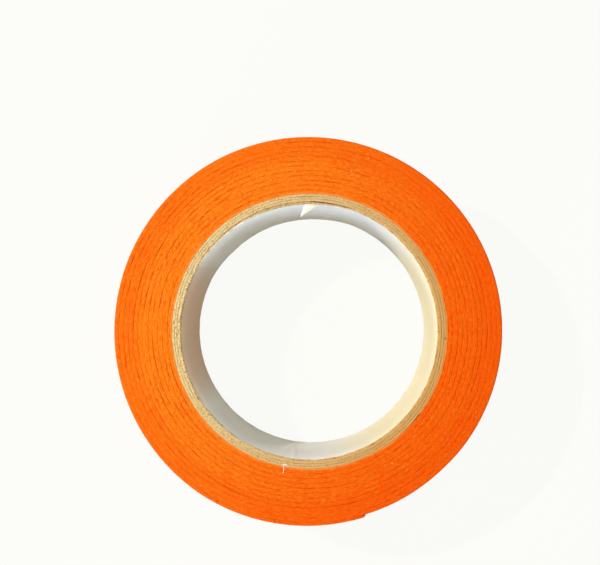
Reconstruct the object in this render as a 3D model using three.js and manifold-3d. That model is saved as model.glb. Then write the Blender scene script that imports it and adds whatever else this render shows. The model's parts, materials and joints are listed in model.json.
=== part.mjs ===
// A roll of grip tape: one felt-faced strip wound on a laminated paper core.
//
// Millimetres, +Z up. The roll lies on one side face, so its axis is Z and its lower face is at z = 0.
// Angles are in degrees, counter-clockwise seen from +Z. The strip and the core's plies are all
// drawn on one set of facet lines, which begins at the strip's start, so that neighbouring layers
// keep an even gap.

import * as THREE from 'three';
import { mergeVertices } from 'three/addons/utils/BufferGeometryUtils.js';
import Module from 'manifold-3d';

// Driving dimensions of the core.
const coreBore = 38.0;
const rollWidth = 25.0;
const linerThickness = 0.2;
const linerStart = 89.0;
const linerWrap = 420.0;
const linerClimb = 19.0;
const plyCount = 3;
const plyThickness = 0.34;
const plyPaperWidth = 75.0;
const plySeamGap = 0.15;
const plySeamAngles = [20.0, 140.0, 260.0];
const glueGap = 0.03;

// The liner's torn flap, a small triangle of paper bent into the bore at the upper rim.
const flapFrom = 86.8;
const flapTo = 91.6;
const flapTipAngle = 94.2;
const flapReach = 2.05;
const flapThickness = 0.15;
const flapBelowRim = 0.35;

// Driving dimensions of the tape. One turn takes up its thickness and the gap to the next turn.
const tapeThickness = 0.7;
const turnGap = 0.02;
const turns = 11.9;
const tapeEndAngle = 287.0;

// The strip's start is pressed thin against the core, and the first turn climbs on to it.
const startThickness = 0.1;
const startTaper = 155.0;
const startClimb = 10.0;

// The strip's free end: pressed thin towards its tip, and hinged in lengths that peel off the roll.
const endThickness = 0.3;
const endTaper = 50.0;
const peelCount = 6;
const peelLength = 18.0;
const peelGap = 0.1;

// Fineness of the round surfaces.
const facetsPerTurn = 60;
const seamSteps = 16;

const wasm = await Module();
wasm.setup();

const materials = {
  liner: new THREE.MeshStandardMaterial({ color: 0xf4eedd, roughness: 0.75, metalness: 0 }),
  kraft: new THREE.MeshStandardMaterial({ color: 0xcfae72, roughness: 0.9, metalness: 0 }),
  tape: new THREE.MeshStandardMaterial({ color: 0xfb6c14, roughness: 0.95, metalness: 0 }),
};

// Sizes that follow from the driving dimensions.
const linerOuterRadius = coreBore / 2 + linerThickness;
const plyPitch = plyThickness + glueGap;
const coreRadius = linerOuterRadius + plyCount * plyPitch;
const turnPitch = tapeThickness + turnGap;
const stripStart = tapeEndAngle - turns * 360;
const peelStart = tapeEndAngle - peelCount * peelLength;

function radians(angle) {
  return THREE.MathUtils.degToRad(angle);
}

function polar(radius, angle) {
  return new THREE.Vector2(radius * Math.cos(radians(angle)), radius * Math.sin(radians(angle)));
}

// Both ends of a stretch, and every facet line of the roll between them.
function facetAngles(from, to) {
  const step = 360 / facetsPerTurn;
  const nearest = step / 50;
  const angles = [from];
  let line = stripStart + Math.ceil((from - stripStart) / step) * step;
  while (line < to - nearest) {
    if (line > from + nearest) {
      angles.push(line);
    }
    line += step;
  }
  angles.push(to);
  return angles;
}

// A sheet bent round the axis, with its inner and outer surfaces given as radius against angle.
function sheetShape(from, to, inner, outer) {
  const angles = facetAngles(from, to);
  const outside = angles.map((angle) => polar(outer(angle), angle));
  const inside = angles.map((angle) => polar(inner(angle), angle));
  return new THREE.Shape(outside.concat(inside.reverse()));
}

function ringShape(innerRadius, outerRadius) {
  const angles = facetAngles(stripStart, stripStart + 360).slice(0, -1);
  const shape = new THREE.Shape(angles.map((angle) => polar(outerRadius, angle)));
  shape.holes.push(new THREE.Path(angles.map((angle) => polar(innerRadius, angle)).reverse()));
  return shape;
}

function extrude(shape, depth, steps = 1) {
  return new THREE.ExtrudeGeometry(shape, { depth, steps, bevelEnabled: false });
}

function toManifold(geometry) {
  const bare = geometry.clone();
  bare.deleteAttribute('normal');
  bare.deleteAttribute('uv');
  const merged = mergeVertices(bare, 1e-4);
  return new wasm.Manifold(new wasm.Mesh({
    numProp: 3,
    vertProperties: new Float32Array(merged.attributes.position.array),
    triVerts: new Uint32Array(merged.index.array),
  }));
}

function fromManifold(solid) {
  const mesh = solid.getMesh();
  const geometry = new THREE.BufferGeometry();
  geometry.setAttribute('position', new THREE.BufferAttribute(mesh.vertProperties, 3));
  geometry.setIndex(new THREE.BufferAttribute(mesh.triVerts, 1));
  geometry.computeVertexNormals();
  return geometry;
}

function namedMesh(name, geometry, material) {
  const mesh = new THREE.Mesh(geometry, material);
  mesh.name = name;
  return mesh;
}

// How far the liner has stepped inwards on to its own start, from 0 to 1.
function linerStep(angle) {
  const climbed = (angle - linerStart - (360 - linerClimb)) / linerClimb;
  return THREE.MathUtils.clamp(climbed, 0, 1);
}

// The flap is flat, lies just under the upper rim, and is joined to the liner along its root.
function tornFlap() {
  const root = coreBore / 2 + linerThickness / 2;
  const shape = new THREE.Shape([
    polar(root, flapFrom),
    polar(root, flapTo),
    polar(coreBore / 2 - flapReach, flapTipAngle),
  ]);
  return extrude(shape, flapThickness).translate(0, 0, rollWidth - flapBelowRim - flapThickness);
}

// One sheet wrapped past a full turn: its last part lies inside its own start, over a small wedge
// of air where it steps inwards.
function coreLiner() {
  const step = linerThickness + turnGap;
  const outer = (angle) => linerOuterRadius - step * linerStep(angle);
  const inner = (angle) => outer(angle) - linerThickness;
  const sheet = extrude(sheetShape(linerStart, linerStart + linerWrap, inner, outer), rollWidth);
  return fromManifold(toManifold(sheet).add(toManifold(tornFlap())));
}

// A blade that cuts the slanting butt joint of a ply. The ply is a paper ribbon wound as a helix,
// so over the roll's width the joint runs round the tube by a share of the helix's pitch.
function seamBlade(innerRadius, outerRadius, angle) {
  const lean = Math.asin(Math.min(0.99, plyPaperWidth / (Math.PI * 2 * outerRadius)));
  const helixPitch = Math.PI * 2 * outerRadius * Math.tan(lean);
  const margin = 1;
  const height = rollWidth + 2 * margin;
  const section = new THREE.Shape([
    new THREE.Vector2(innerRadius - margin, -plySeamGap / 2),
    new THREE.Vector2(outerRadius + margin, -plySeamGap / 2),
    new THREE.Vector2(outerRadius + margin, plySeamGap / 2),
    new THREE.Vector2(innerRadius - margin, plySeamGap / 2),
  ]);
  const blade = extrude(section, height, seamSteps).translate(0, 0, -margin);
  const points = blade.attributes.position;
  const point = new THREE.Vector3();
  const axis = new THREE.Vector3(0, 0, 1);
  for (let i = 0; i < points.count; i += 1) {
    point.fromBufferAttribute(points, i);
    point.applyAxisAngle(axis, radians(angle + (360 * point.z) / helixPitch));
    points.setXYZ(i, point.x, point.y, point.z);
  }
  return blade;
}

function corePly(index) {
  const innerRadius = linerOuterRadius + glueGap + index * plyPitch;
  const outerRadius = innerRadius + plyThickness;
  const ring = extrude(ringShape(innerRadius, outerRadius), rollWidth);
  const angle = plySeamAngles[index % plySeamAngles.length];
  return fromManifold(toManifold(ring).subtract(toManifold(seamBlade(innerRadius, outerRadius, angle))));
}

// The strip is pressed thin at its start and again towards its free end.
function stripThickness(angle) {
  const pastStart = Math.min(1, (angle - stripStart) / startTaper);
  const beforeEnd = Math.min(1, (tapeEndAngle - angle) / endTaper);
  const atStart = THREE.MathUtils.lerp(startThickness, tapeThickness, pastStart);
  const atEnd = THREE.MathUtils.lerp(endThickness, tapeThickness, beforeEnd);
  return Math.min(atStart, atEnd);
}

// Radius of the surface that the strip lies on: the core under the first turn, and the turn below
// after that. Each turn ends with a short climb over the strip's start.
function seatRadius(angle) {
  const turn = Math.floor((angle - stripStart) / 360);
  const lineAngle = angle - turn * 360;
  const climbed = Math.max(0, lineAngle - stripStart - (360 - startClimb)) / startClimb;
  const onCore = coreRadius + turnGap + (startThickness + turnGap) * climbed;
  if (turn === 0) {
    return onCore;
  }
  return onCore + stripThickness(lineAngle) + turnGap + (turn - 1) * turnPitch;
}

function coverRadius(angle) {
  return seatRadius(angle) + stripThickness(angle);
}

function tapeWindings() {
  return extrude(sheetShape(stripStart, peelStart, seatRadius, coverRadius), rollWidth);
}

// One length of the free end, drawn about the hinge line at the outer corner of its root.
function tapeEnd(from, to, hinge) {
  const halfGap = THREE.MathUtils.radToDeg(peelGap / 2 / hinge.length());
  const trim = to < tapeEndAngle ? halfGap : 0;
  const shape = sheetShape(from + halfGap, to - trim, seatRadius, coverRadius);
  return extrude(shape, rollWidth).translate(-hinge.x, -hinge.y, 0);
}

const roll = new THREE.Group();

roll.add(namedMesh('core_liner', coreLiner(), materials.liner));

for (let index = 0; index < plyCount; index += 1) {
  roll.add(namedMesh(`core_ply_${index + 1}`, corePly(index), materials.kraft));
}

roll.add(namedMesh('tape_windings', tapeWindings(), materials.tape));

// Each length of the free end hangs on the one before it, so turning a group peels all that follows.
let carrier = roll;
let carrierHinge = new THREE.Vector2(0, 0);
for (let index = 0; index < peelCount; index += 1) {
  const from = peelStart + index * peelLength;
  const hinge = polar(coverRadius(from), from);
  const pivot = new THREE.Group();
  pivot.position.set(hinge.x - carrierHinge.x, hinge.y - carrierHinge.y, 0);
  pivot.add(namedMesh(`tape_end_${index + 1}`, tapeEnd(from, from + peelLength, hinge), materials.tape));
  carrier.add(pivot);
  carrier = pivot;
  carrierHinge = hinge;
}

export default roll;
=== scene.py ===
"""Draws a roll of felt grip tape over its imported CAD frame.

The file is laid out as an add-on and is run as a script. Lengths are in metres. Angles are in
degrees, counter-clockwise seen from above, and the roll's axis is Z. The tape is one strip: its
place along the winding is an angle that starts below minus ten turns and ends at the free end.
"""

import json
import math
from typing import NamedTuple

import bpy
import numpy as np
from bpy.props import FloatProperty, FloatVectorProperty, IntProperty, PointerProperty
from mathutils import Matrix, Vector


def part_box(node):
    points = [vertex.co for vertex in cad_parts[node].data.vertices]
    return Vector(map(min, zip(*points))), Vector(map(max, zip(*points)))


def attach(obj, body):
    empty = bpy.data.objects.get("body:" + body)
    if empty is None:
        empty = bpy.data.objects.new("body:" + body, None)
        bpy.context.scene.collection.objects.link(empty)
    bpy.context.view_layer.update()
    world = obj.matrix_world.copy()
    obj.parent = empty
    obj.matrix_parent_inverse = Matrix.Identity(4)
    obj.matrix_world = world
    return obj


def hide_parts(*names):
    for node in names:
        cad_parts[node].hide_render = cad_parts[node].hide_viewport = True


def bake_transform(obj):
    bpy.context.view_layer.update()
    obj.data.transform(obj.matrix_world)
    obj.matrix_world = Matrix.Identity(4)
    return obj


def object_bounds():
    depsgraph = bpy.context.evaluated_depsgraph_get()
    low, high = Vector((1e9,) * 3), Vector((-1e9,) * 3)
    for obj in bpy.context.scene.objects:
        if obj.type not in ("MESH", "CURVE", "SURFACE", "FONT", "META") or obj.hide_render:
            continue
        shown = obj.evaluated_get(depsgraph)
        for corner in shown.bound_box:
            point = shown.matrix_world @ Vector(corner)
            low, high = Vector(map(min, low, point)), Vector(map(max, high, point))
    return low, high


bl_info = {
    "name": "Grip Tape Roll",
    "version": (1, 0, 0),
    "blender": (4, 5, 0),
    "location": "3D View > Sidebar > Grip Tape",
    "description": "Draws a roll of felt grip tape wound on a paper core",
    "category": "Object",
}

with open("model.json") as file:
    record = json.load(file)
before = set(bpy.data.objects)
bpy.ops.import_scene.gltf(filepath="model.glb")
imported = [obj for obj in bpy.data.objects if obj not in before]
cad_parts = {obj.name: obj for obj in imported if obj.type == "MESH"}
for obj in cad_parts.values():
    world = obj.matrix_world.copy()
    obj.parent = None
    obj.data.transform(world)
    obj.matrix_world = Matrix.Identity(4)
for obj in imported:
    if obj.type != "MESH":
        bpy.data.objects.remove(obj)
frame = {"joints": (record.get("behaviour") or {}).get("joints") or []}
CAD_BOX = [list(corner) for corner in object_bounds()]

MM = 0.001
ROLL_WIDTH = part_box("tape_windings")[1].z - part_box("tape_windings")[0].z
PEEL_JOINTS = [joint for joint in frame["joints"] if joint["name"].startswith("peel_")]

# Seeds of the noise that makes each piece uneven.
FRINGE_SEED = 5
GAP_SEED = 11
EDGE_SEED = 23
FELT_SEED = 37
PLY_SEED = 53
LINER_SEED = 71
FUZZ_SEED = 97

# Steps along the winding, in degrees.
TURN_STEP = 1.3
END_STEP = 0.75
PAPER_STEP = 0.6

# Where the rim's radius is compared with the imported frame, and how far they may differ.
RIM_PROBE = 150.0
FIT_TOLERANCE = 0.5 * MM

# The side away from the main lamp, towards which the core gets painted shade and the liner's wall painted
# light; the same side for the felt's painted shade;
# the side opposite the liner's painted shade; and how far from the axis the painted light-and-shade
# gradient ends.
AWAY_FROM_KEY_AZIMUTH = math.radians(-15.0)
FELT_AWAY_FROM_KEY_AZIMUTH = math.radians(-22.0)
LIT_WALL_AZIMUTH = math.radians(0.0)
PAINTED_LIGHT_REACH = 24.0 * MM

# Rows of points down the sides of the strip, of a ply and of the liner.
SIDE_ROWS = 9
PLY_ROWS = 6
LINER_ROWS = 22

# Points over the cut edge of a ply and of the liner, as shares of the thickness, and how many
# millimetres each lies below the edge's crown.
PLY_PARTS = (0.0, 0.1, 0.3, 0.5, 0.7, 0.9, 1.0)
PLY_ROUNDING = (0.022, 0.004, 0.0, 0.0, 0.0, 0.004, 0.022)
LINER_PARTS = (0.0, 0.2, 0.5, 0.8, 1.0)
LINER_ROUNDING = (0.05, 0.01, 0.0, 0.01, 0.05)

# Where the open joint of the first ply meets the lower face, and how far on the next ply's is.
FIRST_SEAM = 20.0
SEAM_STEP = 120.0

# The liner's inner end: how thin it is worn, over how many degrees, and how far its cut slants.
WORN_SHARE = 0.8
WORN_SWEEP = 16.0
LINER_END_SLANT = 2.4

# Parts of the strip's outline. A skirt is the part of a side next to an edge.
EDGE = 0
SKIRT = 1
OUTER = 2
INNER = 3

# How round the strip's edges are: where turns touch, and what a gap or the roll's rim adds. The tip
# is lifted over its last degrees and pressed thin over less than one.
TOUCHING_ROUND = 0.014 * MM
GAP_ROUND = 0.1 * MM
RIM_ROUND = 0.13 * MM
MOST_ROUND = 0.3
CROWN_HEIGHT = 0.012 * MM
FOOT_DROP = 0.02 * MM
TIP_THICKNESS = 0.12 * MM
TIP_LENGTH = 4.0
TIP_PRESSED = 0.9

# How open the gap between the core and the first turn is, and how far, in degrees, the last turn's
# outer side reaches under the free end.
CORE_GAP = 0.25
BARE_MARGIN = 2.0

# Unevenness of the felt and the paper. The shift makes the lower edges differ from the upper ones.
UNDERSIDE_SHIFT = 9000.0
UNDERSIDE_HEIGHT = 0.04 * MM
FELT_NAP = 0.022 * MM
RIPPLE = 0.02 * MM
HOLLOW = 0.015 * MM
PLY_TEAR = 0.022 * MM
PLY_WAVE = 0.02 * MM
PLY_NOTCH = 0.016 * MM
LINER_FRAY = 0.035 * MM
LINER_WAVE = 0.03 * MM
LINER_NOTCH = 0.02 * MM
BROAD_BUCKLE = 0.03 * MM
SMALL_BUCKLE = 0.008 * MM
CREASE_DEPTH = 0.07 * MM
CREASE_WIDTH = 1.6

# The liner's upper edge lies bare, with no pulp hanging over it, between these angles.
BARE_EDGE_FROM = 66.0
BARE_EDGE_TO = 151.0

# Where the innermost ply is torn over the liner.
TEAR_ANGLE = 155.5

# The torn flap: where its two roots, its tip and the middles of its two sides lie.
FLAP_LEFT_ANGLE = 91.4
FLAP_RIGHT_ANGLE = 84.4
FLAP_TIP_ANGLE = 94.5
FLAP_LEFT_MIDDLE = (0.86 * MM, 93.0)
FLAP_RIGHT_MIDDLE = (0.9 * MM, 88.0)
FLAP_THICKNESS = 0.13 * MM

# Loose felt fibres: how many, how thick in millimetres, and how they share out over the faces.
FUZZ_COUNT = 2600
END_FUZZ_COUNT = 130
FUZZ_RADII = (0.008, 0.016)
UPPER_FUZZ = 0.62
FACE_FUZZ = 0.8

# Places and sizes of the stage's lamps and floor.
FILL_PLACE = (-0.16, -0.44, 0.2)
FILL_DISTANCE = 0.5
FILL_SIZE = 0.2
SIDE_DISTANCE = 0.6
SIDE_WIDTH = 0.35
SIDE_AZIMUTHS = (-115.0, -25.0, 65.0, 155.0)
FLOOR_REACH = 3.0
FLOOR_DEPTH = 0.02 * MM


class EdgeStep(NamedTuple):
    """A point on the rounding of the strip's edge, as shares of the rounding, and the share of painted gap
    shade there.
    """

    down: float
    inwards: float
    shade: float


EDGE_STEPS = (
    EdgeStep(down=0.85, inwards=0.0, shade=0.95),
    EdgeStep(down=0.55, inwards=0.12, shade=0.7),
    EdgeStep(down=0.24, inwards=0.45, shade=0.3),
    EdgeStep(down=0.03, inwards=1.0, shade=0.06),
)


class DeepGap(NamedTuple):
    """A stretch where two turns stand wide apart."""

    angle: float
    sweep: float
    radius: float


DEEP_GAPS = (
    DeepGap(angle=227.0, sweep=12.0, radius=21.1 * MM),
    DeepGap(angle=250.5, sweep=12.0, radius=22.5 * MM),
    DeepGap(angle=125.0, sweep=8.0, radius=24.0 * MM),
    DeepGap(angle=192.0, sweep=17.0, radius=23.2 * MM),
    DeepGap(angle=327.0, sweep=14.0, radius=21.2 * MM),
)


class Crease(NamedTuple):
    """A soft fold in the liner: its angle at the upper edge, and degrees per millimetre of its slant."""

    angle: float
    slant: float


CREASES = (
    Crease(angle=256.5, slant=0.22),
    Crease(angle=263.5, slant=-0.1),
    Crease(angle=300.0, slant=0.05),
)


class Thread(NamedTuple):
    """A loose fibre over the upper face. Its heading is measured from the radial direction."""

    radius: float
    angle: float
    heading: float
    reach: float
    curl: float
    height: float = 0.05 * MM
    thickness: float = 0.035 * MM


WHITE_TUFT = (
    Thread(20.05 * MM, 259.6, 97.0, 1.0 * MM, 0.08 * MM, height=0.1 * MM, thickness=0.07 * MM),
    Thread(20.15 * MM, 260.4, 84.0, 0.85 * MM, -0.06 * MM, height=0.13 * MM, thickness=0.05 * MM),
    Thread(20.75 * MM, 259.4, 8.0, 1.35 * MM, 0.1 * MM, height=0.09 * MM, thickness=0.065 * MM),
)
PALE_FIBRES = (
    Thread(24.5 * MM, 75.0, 15.0, 0.55 * MM, 0.06 * MM),
    Thread(27.2 * MM, 71.0, 60.0, 0.4 * MM, 0.04 * MM),
    Thread(23.0 * MM, 302.0, 40.0, 0.5 * MM, 0.1 * MM),
    Thread(20.7 * MM, 212.0, 70.0, 1.0 * MM, 0.06 * MM),
    Thread(20.2 * MM, 302.7, 85.0, 0.7 * MM, 0.03 * MM),
    Thread(26.4 * MM, 196.0, 95.0, 0.7 * MM, 0.05 * MM),
)
CORE_HAIRS = (
    Thread(19.05 * MM, 343.7, 20.0, 0.55 * MM, 0.05 * MM, height=0.0, thickness=0.02 * MM),
    Thread(19.05 * MM, 350.4, -15.0, 0.5 * MM, 0.04 * MM, height=0.0, thickness=0.02 * MM),
    Thread(19.05 * MM, 359.5, 10.0, 0.6 * MM, 0.07 * MM, height=0.0, thickness=0.02 * MM),
    Thread(19.05 * MM, 22.5, -20.0, 0.5 * MM, 0.05 * MM, height=0.0, thickness=0.02 * MM),
)


def tone(red, green, blue):
    """A colour as shown on a display, from 0 to 255, turned into the linear values that props hold."""
    shares = (red / 255.0, green / 255.0, blue / 255.0)
    return tuple(s / 12.92 if s <= 0.04045 else ((s + 0.055) / 1.055) ** 2.4 for s in shares)


def opaque(colour):
    return (colour[0], colour[1], colour[2], 1.0)


def length(name, description, default):
    return FloatProperty(
        name=name, description=description, default=default, unit="LENGTH", precision=5
    )


def turn_angle(name, description, degrees):
    return FloatProperty(
        name=name, description=description, default=math.radians(degrees), unit="ROTATION"
    )


def colour_choice(name, description, default):
    return FloatVectorProperty(
        name=name, description=description, default=default, subtype="COLOR", min=0.0, max=1.0
    )


class TapeSettings(bpy.types.PropertyGroup):
    core_radius: length("Core radius", "Radius of the core that the tape is wound on", 20.31 * MM)
    thickness: length("Strip thickness", "Thickness of the felt strip", 0.7 * MM)
    turn_gap: length("Turn gap", "Space that the CAD leaves between turns", 0.02 * MM)
    turns: FloatProperty(name="Turns", description="Number of turns on the core", default=11.9)
    end_angle: turn_angle("End", "Where the free end lies", 287.0)
    start_thickness: length("Start thickness", "The strip is pressed thin at its start", 0.1 * MM)
    start_taper: turn_angle("Start taper", "How far the thin start reaches", 155.0)
    start_climb: turn_angle("Start climb", "Where the first turn climbs on its start", 10.0)
    end_thickness: length("End thickness", "The strip is pressed thin at its tip", 0.3 * MM)
    end_taper: turn_angle("End taper", "How far the thin end reaches", 50.0)
    tip_lift: length("Tip lift", "How far the tip stands off the roll", 0.04 * MM)
    peel_length: turn_angle("Peel length", "One hinged length of the free end", 18.0)
    gap_width: length("Gap width", "Widest space between the edges of two turns", 0.035 * MM)
    edge_wander: length("Edge wander", "How far the lines between turns wander", 0.07 * MM)
    edge_lift: length("Edge lift", "How far one turn stands above another", 0.07 * MM)
    felt: colour_choice("Felt", "Main colour of the felt", tone(241, 111, 13))
    felt_light: colour_choice("Felt, light", "Raised and worn fibres", tone(244, 144, 38))
    felt_deep: colour_choice("Felt, deep", "Fibres that lie lower", tone(238, 76, 3))
    # Painted shade: the felt's colour on the side away from the main lamp.
    felt_shaded_side: colour_choice("Felt, warm side", "Felt that has aged more", tone(245, 70, 1))
    # Painted shade: the felt's colour deep in the gaps between turns.
    felt_gap_shade: colour_choice("Felt, gaps", "Felt inside the gaps between turns", tone(226, 80, 4))
    backing: colour_choice("Backing", "The strip's inner, sticky side", tone(243, 150, 70))


class CoreSettings(bpy.types.PropertyGroup):
    bore_radius: length("Bore radius", "Inner radius of the paper liner", 19.0 * MM)
    liner_thickness: length("Liner thickness", "Thickness of the liner's paper", 0.2 * MM)
    liner_start: turn_angle("Liner start", "Where the liner's outer end lies", 89.0)
    liner_wrap: turn_angle("Liner wrap", "How far round the liner reaches", 420.0)
    liner_climb: turn_angle("Liner climb", "Where the liner steps on to its own start", 19.0)
    ply_count: IntProperty(name="Plies", description="Brown plies in the core", default=3, min=1)
    ply_thickness: length("Ply thickness", "Thickness of one brown ply", 0.34 * MM)
    glue_gap: length("Glue gap", "Space between plies", 0.03 * MM)
    paper_width: length("Paper width", "Width of the ribbon that a ply is wound from", 75.0 * MM)
    seam_gap: length("Seam gap", "Open joint in a ply", 0.15 * MM)
    flap_reach: length("Flap reach", "How far the torn flap stands into the bore", 2.05 * MM)
    paper: colour_choice("Liner paper", "The white liner", tone(250, 251, 248))
    paper_shade: colour_choice("Liner paper, stained", "Thin places in the liner", tone(240, 239, 236))
    # Painted light: the cream of the liner's lit wall, and the torn flap's yellow tint.
    paper_lit_and_yellowed: colour_choice("Liner paper, yellowed", "Liner that has aged more", tone(255, 241, 197))
    # Painted shade: the brown of the liner's shaded wall.
    paper_shaded_wall: colour_choice("Liner paper, tanned", "Liner that glue shows through", tone(230, 192, 158))
    kraft: colour_choice("Kraft", "Main colour of the brown plies", tone(222, 191, 132))
    kraft_light: colour_choice("Kraft, light", "Pale fibres in the plies", tone(236, 212, 158))
    # Painted shade: the kraft's colour on the side away from the main lamp.
    kraft_shaded_side: colour_choice("Kraft, warm side", "Kraft that has aged more", tone(203, 146, 72))
    # Kraft, dark also paints the shade on the innermost ply's inner side, in the gap beside the liner.
    kraft_dark: colour_choice("Kraft, dark", "Dark fibres and glue lines", tone(156, 118, 70))


class StageSettings(bpy.types.PropertyGroup):
    camera_height: length("Camera height", "Height above the upper face", 170.0 * MM)
    camera_right: length("Camera right", "Distance right of the roll's axis", 2.85 * MM)
    camera_up: length("Camera up", "Distance up the view from the roll's axis", 1.16 * MM)
    aim_right: length("Aim right", "Where the view's middle meets the upper face", -1.33 * MM)
    aim_up: length("Aim up", "Where the view's middle meets the upper face", 7.15 * MM)
    lens: FloatProperty(name="Lens", description="Focal length in millimetres", default=68.9)
    key_distance: length("Key distance", "Distance of the main lamp from the roll", 500.0 * MM)
    key_azimuth: turn_angle("Key azimuth", "Side that the main lamp stands on", 154.0)
    key_tilt: turn_angle("Key tilt", "Main lamp's angle from the roll's axis", 35.0)
    key_level: FloatProperty(name="Key level", description="Light from the main lamp", default=0.8)
    fill_level: FloatProperty(name="Fill level", description="Light from the low lamp", default=0.5)
    side_level: FloatProperty(name="Side level", description="Light from each side", default=0.4)
    sky_level: FloatProperty(name="Sky level", description="Light from all round", default=0.16)
    shadow_share: FloatProperty(
        name="Floor shading", description="Share of the floor that shows shadow", default=0.06
    )
    key: colour_choice("Key", "Colour of the main lamp", tone(255, 250, 240))
    fill: colour_choice("Fill", "Colour of the low lamp", tone(212, 230, 252))
    side: colour_choice("Side", "Colour of the side lamps", tone(255, 252, 248))
    sky: colour_choice("Sky", "Colour of the light from all round", tone(214, 232, 255))
    key_size: length("Key size", "Width of the main lamp", 6.0 * MM)
    floor: colour_choice("Floor", "Colour of the floor and backdrop", tone(255, 255, 251))
    floor_matt: colour_choice("Floor, lit", "Colour that the floor throws back", tone(190, 190, 188))


# ---------------------------------------------------------------------------------------------
# Noise and shapes
# ---------------------------------------------------------------------------------------------


def rise(low, high, value):
    """0 below low, 1 above high, and smooth between them."""
    share = np.clip((np.asarray(value, float) - low) / (high - low), 0.0, 1.0)
    return share * share * (3.0 - 2.0 * share)


def hump(centre, half_width, value):
    """1 at the centre, falling smoothly to 0 at half_width on both sides."""
    return 1.0 - rise(0.0, half_width, np.abs(np.asarray(value, float) - centre))


def wander(place, spacing, seed):
    """Smooth noise from -1 to 1 along a line, with a new value every spacing."""
    knots = np.random.RandomState(seed).uniform(-1.0, 1.0, 4096)
    steps = np.asarray(place, float) / spacing
    left = np.floor(steps).astype(int)
    share = rise(0.0, 1.0, steps - left)
    return knots[left % 4096] * (1.0 - share) + knots[(left + 1) % 4096] * share


def mottle(along, across, along_spacing, across_spacing, seed):
    """Smooth noise from -1 to 1 over a surface."""
    grid = np.random.RandomState(seed).uniform(-1.0, 1.0, (512, 512))
    u = np.asarray(along, float) / along_spacing
    v = np.asarray(across, float) / across_spacing
    left = np.floor(u).astype(int)
    low = np.floor(v).astype(int)
    u_share = rise(0.0, 1.0, u - left)
    v_share = rise(0.0, 1.0, v - low)
    near = grid[left % 512, low % 512] * (1 - u_share) + grid[(left + 1) % 512, low % 512] * u_share
    far_left = grid[left % 512, (low + 1) % 512] * (1 - u_share)
    far = far_left + grid[(left + 1) % 512, (low + 1) % 512] * u_share
    return near * (1 - v_share) + far * v_share


def steps_between(first, last, step):
    """Even steps from first to last, both included."""
    return np.linspace(first, last, max(2, int(math.ceil((last - first) / step)) + 1))


def from_polar(radius, angle, height):
    """Points from radius, angle in degrees and height, as one array whose last axis is xyz."""
    turned = np.radians(angle)
    radius, turned, height = np.broadcast_arrays(radius, turned, height)
    return np.stack([radius * np.cos(turned), radius * np.sin(turned), height], axis=-1)


def loft_faces(sections, columns):
    """Quads between neighbouring closed sections of as many points, and each quad's row and column."""
    row, column = np.meshgrid(np.arange(sections - 1), np.arange(columns), indexing="ij")
    after = (column + 1) % columns
    corners = [
        row * columns + column,
        row * columns + after,
        (row + 1) * columns + after,
        (row + 1) * columns + column,
    ]
    return np.stack(corners, axis=-1).reshape(-1, 4), row.ravel(), column.ravel()


def end_caps(sections, columns):
    """The two faces that close a loft, at its first and its last section."""
    last = (sections - 1) * columns
    return [np.arange(columns)[::-1][None], np.arange(last, last + columns)[None]]


def make_mesh(name, points, faces, attributes, materials, material_index=None, caps=0):
    """A mesh object with smooth faces, except for the last few, which are caps, and named attributes."""
    used = np.unique(np.concatenate([np.asarray(face, int).ravel() for face in faces]))
    renumber = np.full(len(points), -1)
    renumber[used] = np.arange(len(used))
    polygons = [renumber[np.asarray(face, int)] for face in faces]
    listed = [polygon for group in polygons for polygon in np.atleast_2d(group).tolist()]
    mesh = bpy.data.meshes.new(name)
    mesh.from_pydata(points[used].tolist(), [], listed)
    mesh.polygons.foreach_set("use_smooth", np.arange(len(listed)) < len(listed) - caps)
    for label, values in attributes.items():
        kept = np.asarray(values, np.float32)[used]
        kind, field = ("FLOAT", "value") if kept.ndim == 1 else ("FLOAT_VECTOR", "vector")
        layer = mesh.attributes.new(label, kind, "POINT")
        layer.data.foreach_set(field, kept.ravel())
    for material in materials:
        mesh.materials.append(material)
    if material_index is not None:
        mesh.polygons.foreach_set("material_index", np.asarray(material_index, np.int32))
    mesh.validate()
    mesh.update()
    piece = bpy.data.objects.new(name, mesh)
    bpy.context.scene.collection.objects.link(piece)
    return piece


def capped_loft(name, points, attributes, material):
    """A mesh object from sections of points, with both ends closed."""
    sections, columns = points.shape[:2]
    faces, _, _ = loft_faces(sections, columns)
    groups = [faces] + end_caps(sections, columns)
    flat = {label: values.reshape((-1,) + values.shape[2:]) for label, values in attributes.items()}
    return make_mesh(name, points.reshape(-1, 3), groups, flat, [material], caps=2)


def tube_points(path, radii, sides):
    """Rings of points round a path, one ring for each of its points."""
    path = np.asarray(path, float)
    direction = np.gradient(path, axis=0)
    direction /= np.linalg.norm(direction, axis=1)[:, None]
    side = np.cross(direction, (0.0, 0.0, 1.0))
    weak = np.linalg.norm(side, axis=1) < 1e-6
    side[weak] = (1.0, 0.0, 0.0)
    side /= np.linalg.norm(side, axis=1)[:, None]
    up = np.cross(side, direction)
    turn = np.arange(sides) / sides * math.tau
    ring = side[:, None] * np.cos(turn)[None, :, None] + up[:, None] * np.sin(turn)[None, :, None]
    return path[:, None] + ring * np.asarray(radii)[:, None, None]


# ---------------------------------------------------------------------------------------------
# Nodes
# ---------------------------------------------------------------------------------------------


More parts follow.
